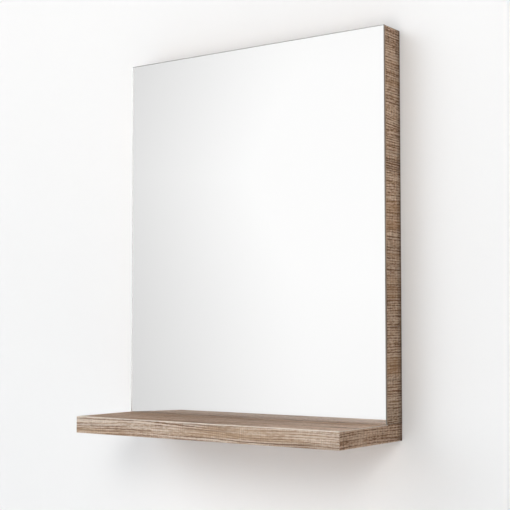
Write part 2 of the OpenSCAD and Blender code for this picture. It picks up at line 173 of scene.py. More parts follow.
class StageSettings(bpy.types.PropertyGroup):
    """Wall, floor, light and camera."""

    wall: colour_setting("Wall", "Paint of the wall and the floor", (0.93, 0.93, 0.93))
    backdrop: colour_setting("Backdrop", "Tone behind everything", (0.93, 0.93, 0.93))
    reach: length_setting("Reach", "Half the width of the wall", 3.2)
    head: length_setting("Head", "Height of the wall above the hangers", 1.7)
    floor_drop: length_setting("Floor drop", "Depth of the floor below the hangers", 1.9)
    cove: length_setting("Cove", "Radius between the wall and the floor", 0.35)
    wall_gap: length_setting("Wall gap", "Air between the frame and the wall", 0.0005)
    opening_inset: length_setting("Opening inset", "Rim that hides the wall's opening", 0.0012)
    fade_start: length_setting("Fade start", "Where the wall begins to fade", 1.5)
    fade_end: length_setting("Fade end", "Where only the backdrop is left", 3.0)
    lens: bpy.props.FloatProperty(
        name="Focal length", description="Lens of the camera in millimetres", default=82.883
    )
    lens_shift: bpy.props.FloatProperty(
        name="Lens shift", description="Rise of the picture", default=0.018
    )
    place: bpy.props.FloatVectorProperty(
        name="Camera place",
        description="Where the camera stands",
        subtype="TRANSLATION",
        default=(1.32382, -1.90124, -0.49068),
    )
    turn: bpy.props.FloatProperty(
        name="Turn", description="Turn to the left", subtype="ANGLE", default=0.61802
    )
    tilt: bpy.props.FloatProperty(
        name="Tilt", description="Tilt upwards", subtype="ANGLE", default=0.05552
    )
    left_light: share_setting("Left light", "Large soft light on the upper left", 3.44, 30)
    right_light: share_setting("Right light", "Soft light on the upper right", 8.85, 30)
    low_light: share_setting("Low light", "Soft light from below the mirror", 5.01, 30)
    left_tint: colour_setting("Left tint", "Colour of the left light", (0.93, 0.965, 1.0))
    right_tint: colour_setting("Right tint", "Colour of the right light", (1.0, 0.985, 0.965))
    low_tint: colour_setting("Low tint", "Colour of the low light", (1.0, 0.955, 0.915))
    rear: share_setting("Rear light", "Even light behind the wall", 0.9, 3)
    rear_key: share_setting("Rear key", "Light from one side behind the wall", 0.5, 3)


# ---- Node sheets ----


class Sheet:
    """A node tree with short calls that each add one node and hand back its output."""

    def __init__(self, tree):
        self.tree = tree

    def feed(self, socket, value):
        """Links an output to a socket, or sets the socket's own value."""
        if isinstance(value, bpy.types.NodeSocket):
            self.tree.links.new(value, socket)
        else:
            socket.default_value = value

    def node(self, kind, inputs=None, **settings):
        """New node with its settings and inputs."""
        node = self.tree.nodes.new(kind)
        for name, value in settings.items():
            setattr(node, name, value)
        for name, value in (inputs or {}).items():
            self.feed(node.inputs[name], value)
        return node

    def math(self, operation, first, second=0.0, third=0.0):
        """Sum on numbers."""
        inputs = {0: first, 1: second, 2: third}
        return self.node("ShaderNodeMath", inputs, operation=operation).outputs[0]

    def times(self, first, second):
        """Product of two numbers."""
        return self.math("MULTIPLY", first, second)

    def times_plus(self, first, second, third):
        """Product of two numbers, with a third one added."""
        return self.math("MULTIPLY_ADD", first, second, third)

    def minus(self, first, second):
        """The first number less the second."""
        return self.math("SUBTRACT", first, second)

    def vector(self, operation, first, second=(0, 0, 0)):
        """Sum on vectors that gives a vector."""
        inputs = {0: first, 1: second}
        return self.node("ShaderNodeVectorMath", inputs, operation=operation).outputs["Vector"]

    def dot(self, first, second):
        """Dot product of two vectors."""
        inputs = {0: first, 1: second}
        return self.node("ShaderNodeVectorMath", inputs, operation="DOT_PRODUCT").outputs["Value"]

    def split(self, vector):
        """The three numbers of a vector."""
        return self.node("ShaderNodeSeparateXYZ", {0: vector}).outputs

    def join(self, x, y, z):
        """Vector of three numbers."""
        return self.node("ShaderNodeCombineXYZ", {0: x, 1: y, 2: z}).outputs[0]

    def noise(self, vector, stretch, detail, roughness=0.5):
        """Cloudy value round 0.5, with its own size along each axis."""
        place = self.vector("MULTIPLY", vector, stretch)
        inputs = {"Vector": place, "Scale": 1.0, "Detail": detail, "Roughness": roughness}
        return self.node("ShaderNodeTexNoise", inputs).outputs[0]

    def cells(self, vector, stretch):
        """Distance to the nearest of scattered points."""
        inputs = {"Vector": self.vector("MULTIPLY", vector, stretch), "Scale": 1.0}
        return self.node("ShaderNodeTexVoronoi", inputs).outputs["Distance"]

    def ease(self, value, start, end, low=0.0, high=1.0):
        """Smooth step from low to high while the value goes from start to end."""
        inputs = {0: value, 1: start, 2: end, 3: low, 4: high}
        return self.node("ShaderNodeMapRange", inputs, interpolation_type="SMOOTHSTEP").outputs[0]

    def blend(self, share, first, second, mode="MIX"):
        """Colour between two colours."""
        inputs = {0: share, 6: first, 7: second}
        return self.node("ShaderNodeMix", inputs, data_type="RGBA", blend_type=mode).outputs[2]

    def scale_colour(self, colour, by):
        """Colour made lighter or darker by a number."""
        return self.vector("MULTIPLY", colour, self.join(by, by, by))


def new_group(name, outputs, numbers=(), colours=(), vectors=()):
    """Empty shader node group with Vector and these sockets, as a sheet with its two ends."""
    group = bpy.data.node_groups.new(name, "ShaderNodeTree")
    number, colour, vector = "NodeSocketFloat", "NodeSocketColor", "NodeSocketVector"
    inputs = {vector: ("Vector", *vectors), colour: colours, number: numbers}
    for kind, titles in inputs.items():
        for title in titles:
            group.interface.new_socket(title, in_out="INPUT", socket_type=kind)
    for title in outputs:
        kind = colour if title == "Color" else number
        group.interface.new_socket(title, in_out="OUTPUT", socket_type=kind)
    start = group.nodes.new("NodeGroupInput").outputs
    end = group.nodes.new("NodeGroupOutput").inputs
    return Sheet(group), start, end


def oak_decor_group():
    """Grey-brown sawn oak whose grain runs along the first axis of its vector."""
    sheet, start, end = new_group(
        "Oak decor",
        ("Color", "Roughness", "Height"),
        numbers=("Contrast", "Saw Marks", "Saw Pitch", "Flecks", "Pores", "Roughness"),
        colours=("Pale", "Middle", "Dark", "Vein", "Warm"),
    )
    place = start["Vector"]
    # The grain wanders a few millimetres to the side over its length.
    wide_bend = sheet.noise(place, (2.5, 9, 9), 1)
    small_bend = sheet.noise(place, (8, 40, 40), 1)
    drift = sheet.times_plus(wide_bend, 0.014, -0.0078)
    drift = sheet.times_plus(small_bend, 0.0016, drift)
    grain = sheet.vector("ADD", place, sheet.join(0.0, drift, drift))
    # Each growth ring darkens slowly and ends in a sharp line, about five millimetres apart.
    sides = sheet.split(grain)
    ring = sheet.times(sheet.math("ADD", sides[1], sides[2]), 1 / 0.005)
    ring = sheet.times_plus(sheet.noise(grain, (4, 40, 40), 2), 2.2, ring)
    ring = sheet.math("FRACT", ring)
    late = sheet.times(sheet.ease(ring, 0.3, 0.85), sheet.ease(ring, 1.0, 0.86))
    ring_area = sheet.ease(sheet.noise(grain, (6, 85, 85), 2), 0.34, 0.58, 0.4, 1.0)
    late = sheet.times(late, ring_area)
    # Broad streaks, fine streaks, fibres, and short flecks that break them up.
    broad = sheet.ease(sheet.noise(grain, (1.3, 55, 55), 3, 0.6), 0.32, 0.68)
    streak = sheet.ease(sheet.noise(grain, (3, 280, 280), 3, 0.62), 0.34, 0.66)
    fibre = sheet.ease(sheet.noise(grain, (14, 560, 560), 2, 0.6), 0.34, 0.66)
    fleck = sheet.ease(sheet.noise(grain, (110, 420, 420), 2, 0.6), 0.34, 0.66)
    tone = sheet.times(sheet.minus(late, 0.3), -0.5)
    weights = ((broad, 0.18), (streak, 0.32), (fibre, 0.3), (fleck, start["Flecks"]))
    for value, weight in weights:
        tone = sheet.times_plus(sheet.minus(value, 0.5), weight, tone)
    tone = sheet.times_plus(tone, start["Contrast"], 0.5)
    colour = sheet.blend(sheet.ease(tone, 0.05, 0.52), start["Dark"], start["Middle"])
    colour = sheet.blend(sheet.ease(tone, 0.5, 0.9), colour, start["Pale"])
    # Warm patches as long as a hand.
    patch = sheet.ease(sheet.noise(place, (1.7, 34, 34), 2), 0.46, 0.64)
    colour = sheet.blend(sheet.times(patch, 0.5), colour, start["Warm"])
    # Long thin dark veins follow the level lines of a stretched cloud.
    level = sheet.noise(grain, (1.3, 40, 40), 1)
    vein = sheet.math("ABSOLUTE", sheet.minus(level, 0.5))
    vein_area = sheet.ease(sheet.noise(place, (7, 30, 30), 2), 0.4, 0.62)
    vein = sheet.times(sheet.ease(vein, 0.035, 0.0), vein_area)
    colour = sheet.blend(sheet.times(vein, 0.6), colour, start["Vein"])
    # Marks of the saw stand across the grain and come and go.
    along, across, upright = sheet.split(place)[:]
    along = sheet.math("DIVIDE", along, start["Saw Pitch"])
    sawn = sheet.join(along, across, upright)
    saw_phase = sheet.times(sheet.noise(sawn, (0.12, 30, 30), 1), 7.0)
    saw_phase = sheet.times_plus(along, 2 * math.pi, saw_phase)
    saw = sheet.times(sheet.math("SINE", saw_phase), 0.32)
    scratch = sheet.minus(sheet.noise(sawn, (1.9, 65, 65), 1), 0.5)
    saw = sheet.times_plus(scratch, 1.9, saw)
    saw_area = sheet.ease(sheet.noise(sawn, (0.064, 60, 60), 1), 0.36, 0.62, 0.25, 1.0)
    saw = sheet.times(saw, sheet.times(saw_area, start["Saw Marks"]))
    colour = sheet.scale_colour(colour, sheet.times_plus(saw, 0.34, 1.0))
    # Pores are short dark dashes along the grain.
    pore = sheet.ease(sheet.noise(grain, (80, 1100, 1100), 1), 0.55, 0.7)
    pore = sheet.times(pore, start["Pores"])
    colour = sheet.scale_colour(colour, sheet.times_plus(pore, -0.5, 1.0))
    sheet.feed(end["Color"], colour)
    rough = sheet.times_plus(tone, -0.16, sheet.math("ADD", start["Roughness"], 0.08))
    sheet.feed(end["Roughness"], sheet.times_plus(pore, 0.2, rough))
    height = sheet.times_plus(streak, 0.35, sheet.times(late, -0.3))
    height = sheet.times_plus(saw, 0.5, height)
    sheet.feed(end["Height"], sheet.times_plus(pore, -0.7, height))
    return sheet.tree


def painted_shade_group():
    """Painted shade: share of light that is left on a surface near the wall and at its foot."""
    numbers = ("Reach", "Strength", "Foot Height", "Foot Width")
    sheet, start, end = new_group("Painted shade", ("Factor",), numbers)
    place = start["Vector"]
    # Painted shade close to the wall, and a painted contact shadow along a side's foot.
    depth = sheet.math("DIVIDE", sheet.split(place)[1], start["Reach"])
    uneven = sheet.times_plus(sheet.noise(place, (40, 40, 40), 2), 0.3, -0.15)
    dark = sheet.ease(sheet.math("ADD", depth, uneven), -1.0, 0.1)
    rise = sheet.minus(sheet.split(place)[2], start["Foot Height"])
    foot = sheet.ease(sheet.math("DIVIDE", rise, start["Foot Width"]), 1.0, 0.1, 0.0, 0.8)
    dark = sheet.times(sheet.math("MAXIMUM", dark, foot), start["Strength"])
    # Painted shade: the lower half is a little darker than the upper one, and more so close to the
    # foot.
    painted_lower_shade = sheet.ease(rise, 0.37, 0.3, 1.0, 0.84)
    painted_foot_shade = sheet.ease(rise, 0.06, 0.0, 1.0, 0.78)
    left = sheet.times(sheet.minus(1.0, dark), painted_lower_shade)
    sheet.feed(end["Factor"], sheet.times(left, painted_foot_shade))
    return sheet.tree


def edge_mask_group():
    """Mask along the edges of a box, a little broken up. On the silver it is a worn rim, on the oak a
    line of wear and painted highlight.
    """
    corners = ("Low Corner", "High Corner")
    sheet, start, end = new_group("Edge mask", ("Mask",), ("Width",), vectors=corners)
    place = start["Vector"]
    above = sheet.vector("SUBTRACT", place, start["Low Corner"])
    below = sheet.vector("SUBTRACT", start["High Corner"], place)
    inside = sheet.split(sheet.vector("MINIMUM", above, below))
    # The middle one of the three depths is small only near an edge.
    lower = sheet.math("MINIMUM", inside[0], inside[1])
    upper = sheet.math("MAXIMUM", inside[0], inside[1])
    middle = sheet.math("MAXIMUM", lower, sheet.math("MINIMUM", upper, inside[2]))
    uneven = sheet.noise(place, (90, 90, 90), 3)
    width = sheet.times(start["Width"], sheet.math("ADD", uneven, 0.5))
    mask = sheet.minus(1.0, sheet.math("DIVIDE", middle, width))
    sheet.feed(end["Mask"], sheet.ease(mask, 0.0, 0.8))
    return sheet.tree


def planed_wood_group():
    """Plain wood with growth rings, grain along the first axis of its vector."""
    sheet, start, end = new_group(
        "Planed wood",
        ("Color", "Roughness", "Height"),
        numbers=("Ring Width", "Flecks"),
        colours=("Early", "Late"),
        vectors=("Heart",),
    )
    place = start["Vector"]
    sway = sheet.noise(place, (2.2, 2.2, 2.2), 2)
    wobble = sheet.noise(place, (9, 40, 40), 2)
    sideways = sheet.times_plus(sway, 0.09, -0.045)
    off_heart = sheet.vector("SUBTRACT", place, start["Heart"])
    off_heart = sheet.split(sheet.vector("ADD", off_heart, sheet.join(0.0, 0.0, sideways)))
    across = sheet.times(off_heart[1], off_heart[1])
    upright = sheet.times(off_heart[2], off_heart[2])
    radius = sheet.math("SQRT", sheet.math("ADD", across, upright))
    rings = sheet.math("DIVIDE", radius, start["Ring Width"])
    rings = sheet.times_plus(wobble, 1.3, rings)
    season = sheet.math("POWER", sheet.math("FRACT", rings), 2.6)
    season = sheet.times(season, sheet.ease(sheet.math("FRACT", rings), 1.0, 0.9))
    fibre = sheet.noise(place, (14, 600, 600), 3, 0.6)
    fleck = sheet.ease(sheet.noise(place, (90, 520, 1400), 1), 0.6, 0.72)
    fleck = sheet.times(fleck, start["Flecks"])
    colour = sheet.blend(sheet.times(season, 0.8), start["Early"], start["Late"])
    shade = sheet.times_plus(fibre, 0.28, 0.86)
    shade = sheet.times_plus(fleck, -0.4, shade)
    tint = sheet.noise(place, (3, 12, 12), 2)
    shade = sheet.times(shade, sheet.times_plus(tint, 0.24, 0.88))
    sheet.feed(end["Color"], sheet.scale_colour(colour, shade))
    sheet.feed(end["Roughness"], sheet.times_plus(fibre, 0.2, 0.55))
    sheet.feed(end["Height"], sheet.times_plus(season, 0.5, fibre))
    return sheet.tree


def metal_finish_group():
    """Plated or cast metal: drawn lines, mottled plating and small dark marks."""
    sheet, start, end = new_group(
        "Metal finish",
        ("Color", "Roughness", "Height"),
        numbers=("Drawn Lines", "Mottle", "Roughness"),
        colours=("Color",),
    )
    place = start["Vector"]
    lines = sheet.noise(place, (70, 2600, 2600), 2, 0.6)
    lines = sheet.times(sheet.minus(lines, 0.5), start["Drawn Lines"])
    cloud = sheet.noise(place, (240, 240, 240), 3, 0.6)
    grain = sheet.cells(place, (1500, 1500, 1500))
    mottle = sheet.times_plus(grain, 0.35, sheet.minus(cloud, 0.65))
    mottle = sheet.times(mottle, start["Mottle"])
    shade = sheet.math("ADD", sheet.times_plus(lines, 0.35, 1.0), mottle)
    # Passivation leaves a faint straw and blue cast.
    cast = sheet.blend(sheet.noise(place, (60, 60, 60), 1), (0.93, 0.98, 1, 1), (1, 0.97, 0.9, 1))
    colour = sheet.blend(0.6, start["Color"], cast, "MULTIPLY")
    sheet.feed(end["Color"], sheet.scale_colour(colour, shade))
    rough = sheet.times_plus(lines, 0.3, start["Roughness"])
    sheet.feed(end["Roughness"], sheet.times_plus(mottle, -0.5, rough))
    sheet.feed(end["Height"], sheet.math("ADD", lines, mottle))
    return sheet.tree


def speckle_group():
    """Fine grain with scattered light and dark spots."""
    sheet, start, end = new_group(
        "Speckle", ("Color", "Height"), numbers=("Size", "Strength"), colours=("Color",)
    )
    scaled = sheet.vector("DIVIDE", start["Vector"], sheet.join(*[start["Size"]] * 3))
    grain = sheet.noise(scaled, (1, 1, 1), 4, 0.65)
    spots = sheet.cells(scaled, (0.7, 0.7, 0.7))
    cloud = sheet.noise(scaled, (0.02, 0.02, 0.02), 2)
    mark = sheet.times_plus(spots, 0.5, sheet.minus(grain, 0.9))
    mark = sheet.times(sheet.times_plus(cloud, 0.3, mark), start["Strength"])
    shade = sheet.math("ADD", mark, 1.0)
    sheet.feed(end["Color"], sheet.scale_colour(start["Color"], shade))
    sheet.feed(end["Height"], mark)
    return sheet.tree


GROUP_MAKERS = {
    "Oak decor": oak_decor_group,
    "Painted shade": painted_shade_group,
    "Edge mask": edge_mask_group,
    "Planed wood": planed_wood_group,
    "Metal finish": metal_finish_group,
    "Speckle": speckle_group,
}


def place_group(sheet, name, inputs):
    """Node that holds a shared group, which is made at its first use."""
    tree = bpy.data.node_groups.get(name) or GROUP_MAKERS[name]()
    return sheet.node("ShaderNodeGroup", inputs, node_tree=tree)


# ---- Materials ----

NOWHERE = (0, 0, 0)
PLAIN_TONES = ((1, 1, 1), (1, 1, 1))
# Foot of a piece that gets no painted shade at its foot: far below the floor.
NO_FOOT = -10
# Turns that bring the grain to the first axis, from along X, along Y and along Z.
GRAIN_TURN = {"X": (0, 0, 0), "Y": (0, 0, math.radians(-90)), "Z": (0, math.radians(90), 0)}


def new_material(name):
    """Material with one shader, as a sheet, its shader and its object coordinates."""
    material = bpy.data.materials.new(name)
    material.use_nodes = True
    sheet = Sheet(material.node_tree)
    shader = material.node_tree.nodes["Principled BSDF"]
    place = sheet.node("ShaderNodeTexCoord").outputs["Object"]
    return material, sheet, shader, place


def turned(sheet, place, grain, shift=NOWHERE):
    """Object coordinates with the grain along the first axis."""
    inputs = {"Vector": place, "Rotation": GRAIN_TURN[grain], "Location": shift}
    return sheet.node("ShaderNodeMapping", inputs).outputs[0]


def set_surface(sheet, shader, colour, roughness, gloss=0.5):
    """Gives a shader its colour, its roughness and its specular level."""
    values = {"Base Color": colour, "Roughness": roughness, "Specular IOR Level": gloss}
    for name, value in values.items():
        sheet.feed(shader.inputs[name], value)


def emboss(sheet, shader, height, depth):
    """Raises the surface by a height between 0 and 1."""
    bump = sheet.node("ShaderNodeBump", {"Height": height, "Distance": depth, "Strength": 1.0})
    sheet.feed(shader.inputs["Normal"], bump.outputs[0])


def oak_material(name, grain, shift, box, foot, wear_and_highlight, tones_and_painted_light, contrast):
    """Oak decor for one piece, whose box says where its edges and its foot are."""
    oak = bpy.context.scene.mirror_oak
    saw_marks, saw_pitch, flecks = oak.saw_marks, oak.saw_pitch, oak.flecks
    if grain == "Y":
        saw_marks, saw_pitch, flecks = oak.side_saw_marks, oak.side_saw_pitch, oak.side_flecks
    material, sheet, shader, place = new_material(name)
    grown = {
        "Vector": turned(sheet, place, grain, shift),
        "Pale": opaque(oak.pale),
        "Middle": opaque(oak.middle),
        "Dark": opaque(oak.dark),
        "Vein": opaque(oak.vein),
        "Warm": opaque(oak.warm),
        "Contrast": oak.contrast * contrast,
        "Saw Marks": saw_marks,
        "Saw Pitch": saw_pitch,
        "Flecks": flecks,
        "Pores": oak.pores,
        "Roughness": oak.roughness,
    }
    decor = place_group(sheet, "Oak decor", grown).outputs
    low, high = box
    # Painted shade: the decor darkens near the wall and, on the sides, at the foot.
    near = {"Vector": place, "Reach": oak.wall_reach, "Strength": oak.painted_wall_shade}
    near |= {"Foot Height": foot, "Foot Width": oak.foot_width}
    shade = place_group(sheet, "Painted shade", near).outputs["Factor"]
    # A pale line along the edges: partly wear, partly a painted highlight.
    corners = {"Vector": place, "Low Corner": low, "High Corner": high, "Width": oak.edge_line_width}
    edge = place_group(sheet, "Edge mask", corners).outputs["Mask"]
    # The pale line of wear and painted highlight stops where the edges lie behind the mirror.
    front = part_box("side_front_bands")[0].y
    bare = sheet.ease(sheet.split(place)[1], front, front + oak.edge_line_stop, 1.0, 0.0)
    edge = sheet.times(sheet.times(edge, bare), wear_and_highlight)
    # The tone may drift from a piece's left end to its right end; on some pieces this carries painted
    # shade or a painted sheen.
    across = sheet.ease(sheet.split(place)[0], low.x, high.x)
    tone = sheet.blend(across, opaque(tones_and_painted_light[0]), opaque(tones_and_painted_light[1]))
    colour = sheet.vector("MULTIPLY", decor["Color"], tone)
    colour = sheet.scale_colour(colour, shade)
    colour = sheet.blend(edge, colour, opaque(oak.edge_wear_and_highlight))
    set_surface(sheet, shader, colour, decor["Roughness"], oak.gloss)
    emboss(sheet, shader, decor["Height"], oak.relief)
    return material


def planed_material(name, grain, shift, early, late, ring_width, heart, flecks):
    """Bare planed wood."""
    material, sheet, shader, place = new_material(name)
    grown = {
        "Vector": turned(sheet, place, grain, shift),
        "Early": opaque(early),
        "Late": opaque(late),
        "Ring Width": ring_width,
        "Heart": heart,
        "Flecks": flecks,
    }
    wood = place_group(sheet, "Planed wood", grown).outputs
    set_surface(sheet, shader, wood["Color"], wood["Roughness"], gloss=0.3)
    emboss(sheet, shader, wood["Height"], depth=0.0001)
    return material


def metal_material(name, colour, drawn, mottle, roughness, grain="X"):
    """Plated or cast metal."""
    material, sheet, shader, place = new_material(name)
    worked = {
        "Vector": turned(sheet, place, grain),
        "Color": opaque(colour),
        "Drawn Lines": drawn,
        "Mottle": mottle,
        "Roughness": roughness,
    }
    finish = place_group(sheet, "Metal finish", worked).outputs
    set_surface(sheet, shader, finish["Color"], finish["Roughness"])
    shader.inputs["Metallic"].default_value = 1.0
    emboss(sheet, shader, finish["Height"], depth=0.00004)
    return material


def speckled_material(name, colour, size, strength, roughness, relief):
    """Fibreboard, foam or ground glass."""
    material, sheet, shader, place = new_material(name)
    values = {"Vector": place, "Color": opaque(colour), "Size": size, "Strength": strength}
    speckle = place_group(sheet, "Speckle", values).outputs
    rough = sheet.times_plus(speckle["Height"], -0.3, roughness)
    set_surface(sheet, shader, speckle["Color"], rough, gloss=0.35)
    emboss(sheet, shader, speckle["Height"], relief)
    return material


def bowed_normal(sheet, place, low):
    """Normal of a sheet that bows by a millimetre or two, which shows at its foot."""
    settings = bpy.context.scene.mirror_glass
    height = sheet.split(place)[2]
    rise = sheet.ease(height, low.z, low.z + settings.bow_reach, settings.foot_bow, 0.0)
    flat = sheet.node("ShaderNodeNewGeometry").outputs["Normal"]
    return sheet.vector("NORMALIZE", sheet.vector("ADD", flat, sheet.join(0.0, 0.0, rise)))


def silver_material():
    """Silver layer behind the glass, with a thin worn rim."""
    settings = bpy.context.scene.mirror_glass
    material, sheet, shader, place = new_material("Silver layer")
    low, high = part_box("mirror_silvering")
    corners = {"Vector": place, "Low Corner": low, "High Corner": high}
    corners["Width"] = settings.rim_width
    rim = place_group(sheet, "Edge mask", corners).outputs["Mask"]
    haze = sheet.noise(place, (5, 5, 5), 2)
    colour = sheet.scale_colour(settings.silver[:], sheet.ease(haze, 0, 1, 0.995, 1.0))
    rim = sheet.times(rim, settings.rim_wear)
    colour = sheet.blend(rim, colour, opaque(settings.rim))
    set_surface(sheet, shader, colour, roughness=0.0)
    shader.inputs["Metallic"].default_value = 1.0
    sheet.feed(shader.inputs["Normal"], bowed_normal(sheet, place, low))
    return material


def glass_material(name, tint, cloudiest, roughness):
    """Clear float glass with the faintest cloud."""
    material, sheet, shader, place = new_material(name)
    cloud = sheet.ease(sheet.noise(place, (4, 4, 4), 2), 0, 1, cloudiest, 1.0)
    set_surface(sheet, shader, sheet.scale_colour(tint[:], cloud), roughness)
    shader.inputs["IOR"].default_value = 1.5
    shader.inputs["Transmission Weight"].default_value = 1.0
    return material


def dress(name, material):
    """Gives a CAD node its finish."""
    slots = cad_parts[name].material_slots
    if not slots:
        raise RuntimeError(f"{name} has no material slot")
    for slot in slots:
        slot.material = material


def dress_oak(name, grain, shift, wear_and_highlight=0.1, tones_and_painted_light=PLAIN_TONES, edge_line_along=None, contrast=1.0):
    """Gives a CAD node its own piece of the oak decor, with a pale line along its edges but not its
    foot, which is partly wear and partly a painted highlight.

    Its tones belong to its left and its right end; on some pieces they carry painted shade or a
    painted sheen. With an axis in edge_line_along, only the edges along that axis get the line.
    """
    low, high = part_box(name)
    foot = low.z if name.startswith("side_") else NO_FOOT
    # An edge gets no pale line where the box that says where the line goes reaches beyond it.
    beyond = 0.01
    low = low - Vector((0, 0, beyond))
    high = high + Vector((0, beyond, 0))
    if edge_line_along is not None:
        low[edge_line_along] -= beyond
        high[edge_line_along] += beyond
    box = (low, high)
    dress(name, oak_material(f"Oak {name}", grain, shift, box, foot, wear_and_highlight, tones_and_painted_light, contrast))


# ---- Operators ----


class DressSides(bpy.types.Operator):
    """Oak decor on the side panels of the frame and on their edge bands"""

    bl_idname = "mirror_shelf.sides"
    bl_label = "Side panels"

    def execute(self, context):
        tone = (0.98, 0.89, 0.79)
        finish = {"wear_and_highlight": 0.05, "tones_and_painted_light": (tone, tone)}
        dress_oak("side_panel_right", "Y", (0.31, 0.12, 0.45), contrast=1.5, **finish)
        dress_oak("side_panel_left", "Y", (1.7, 0.52, 0.2), contrast=1.5, **finish)
        dress_oak("side_front_bands", "Z", (0.9, 0.33, 0.1), **finish)
        dress_oak("side_rear_bands", "Z", (2.9, 0.73, 0.4), **finish)
        dress_oak("side_top_bands", "Y", (3.3, 0.2, 0.6), **finish)
        return {"FINISHED"}


class DressPanels(bpy.types.Operator):
    """Oak decor on the top and bottom panels of the frame and on their rear bands"""

    bl_idname = "mirror_shelf.panels"
    bl_label = "Top and bottom panels"

    def execute(self, context):
        dress_oak("top_panel", "X", (4.2, 0.4, 0.9))
        dress_oak("bottom_panel", "X", (5.1, 0.1, 0.3))
        dress_oak("panel_rear_bands", "X", (6.4, 0.8, 0.5))
        return {"FINISHED"}


class DressShelf(bpy.types.Operator):
    """Oak decor on the shelf board and its four edge bands"""

    bl_idname = "mirror_shelf.shelf"
    bl_label = "Shelf"

    def execute(self, context):
        # The board is warmer at its left end and paler and greyer at its right: a painted sheen that
        # grows to the right.
        left, right = (1.0, 0.85, 0.71), (1.4, 1.3, 1.23)
        dress_oak("shelf_board", "X", (7.3, 0.25, 0.15), tones_and_painted_light=(left, right), contrast=1.6)
        tone = (1.065, 1.1, 1.13)
        # The front band's top front edge gets the strongest pale line: partly wear, partly a painted
        # highlight.
        front = {"wear_and_highlight": 1.0, "tones_and_painted_light": (tone, tone), "edge_line_along": 0, "contrast": 1.3}
        dress_oak("shelf_front_band", "X", (8.6, 0.65, 0.35), **front)
        dress_oak("shelf_rear_band", "X", (9.1, 0.15, 0.85))
        # The ends are a darker, warmer copy of the decor: painted shade.
        tone = (0.73, 0.635, 0.55)
        end = {"wear_and_highlight": 0.6, "tones_and_painted_light": (tone, tone), "edge_line_along": 1, "contrast": 1.5}
        dress_oak("shelf_right_band", "Y", (12.7, 0.31, 0.77), **end)
        dress_oak("shelf_left_band", "Y", (11.5, 0.95, 0.65), **end)
        return {"FINISHED"}


class DressRails(bpy.types.Operator):
    """Bare softwood on the hanging rail, the lower rail and the upright"""

    bl_idname = "mirror_shelf.rails"
    bl_label = "Rails"

    def execute(self, context):
        fit = context.scene.mirror_fittings
        # For each: its grain, its place in the wood, its ring width and the log's heart.
        rails = {
            "hanging_rail": ("X", (0.3, 0, 0), 0.0042, (0, 0.03, 0.02)),
            "lower_rail": ("X", (1.4, 0, 0.6), 0.0036, (0, 0.05, 0)),
            "centre_stiffener": ("Z", (2.2, 0.1, 0), 0.003, (0, 0.07, 0.05)),
        }
        for name, (grain, shift, rings, heart) in rails.items():
            wood = (grain, shift, fit.softwood, fit.late_wood, rings, heart)
            dress(name, planed_material(f"Softwood {name}", *wood, flecks=0.2))
        return {"FINISHED"}


class DressCarrier(bpy.types.Operator):
    """Brown fibreboard on the board that carries the mirror"""

    bl_idname = "mirror_shelf.carrier"
    bl_label = "Carrier board"

    def execute(self, context):
        colour = context.scene.mirror_fittings.fibreboard
        board = {"size": 0.0011, "strength": 0.9, "roughness": 0.8, "relief": 0.00012}
        dress("carrier_board", speckled_material("Fibreboard", colour, **board))
        return {"FINISHED"}


def new_piece(name, shape, materials):
    """Object with this shape, which is freed, and these materials."""
    mesh = bpy.data.meshes.new(name)
    shape.to_mesh(mesh)
    shape.free()
    for material in materials:
        mesh.materials.append(material)
    piece = bpy.data.objects.new(name, mesh)
    bpy.context.scene.collection.objects.link(piece)
    return piece


def rectangle(left, right, bottom, top, depth):
    """Corners of an upright rectangle that faces the front."""
    return [(left, depth, bottom), (right, depth, bottom), (right, depth, top), (left, depth, top)]


def pane_loops(low, high, arris, back_arris):
    """Inset and depth of the pane's outlines, from its back face to its front face."""
    return [
        (back_arris, high.y),
        (0.0, high.y - back_arris),
        (0.0, low.y + arris),
        (arris * 0.5, low.y + arris * 0.36),
        (arris, low.y),
    ]


class BuildPane(bpy.types.Operator):
    """Glass pane with ground edges, and the silver layer that its back lies on"""

    bl_idname = "mirror_shelf.pane"
    bl_label = "Mirror"

    def execute(self, context):
        settings = context.scene.mirror_glass
        low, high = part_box("mirror_glass")
        low = low - Vector((0, 0, settings.seat))
        high = high + Vector((0, settings.bond, 0))
        pane = bmesh.new()
        outlines = []
        for inset, depth in pane_loops(low, high, settings.arris, settings.back_arris):
            left, right = low.x + inset, high.x - inset
            corners = rectangle(left, right, low.z + inset, high.z - inset, depth)
            outlines.append([pane.verts.new(corner) for corner in corners])
        # The foot, the right edge and the clear upper and left edges, in the outlines' order.
        rims = (1, 2, 3, 3)
        for behind, ahead in zip(outlines, outlines[1:]):
            for i in range(4):
                after = (i + 1) % 4
                rim = pane.faces.new((behind[i], behind[after], ahead[after], ahead[i]))
                rim.material_index = rims[i]
        pane.faces.new(reversed(outlines[0]))
        pane.faces.new(outlines[-1])
        bmesh.ops.recalc_face_normals(pane, faces=pane.faces)
        clear = {"cloudiest": 0.996, "roughness": 0.0}
        ground = {"size": 0.0006, "strength": 0.5, "roughness": 0.4, "relief": 0.00003}
        polished = {"cloudiest": 0.98, "roughness": 0.3}
        materials = (
            glass_material("Float glass", settings.glass, **clear),
            # The glass foot's bright wood tone is painted light.
            speckled_material("Glass foot", settings.foot, **ground),
            speckled_material("Ground glass edge", settings.edge, **ground),
            glass_material("Polished glass edge", settings.polish, **polished),
        )
        piece = new_piece("mirror_pane", pane, materials)
        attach(piece, "root")
        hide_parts("mirror_glass")
        dress("mirror_silvering", silver_material())
        return {"FINISHED"}


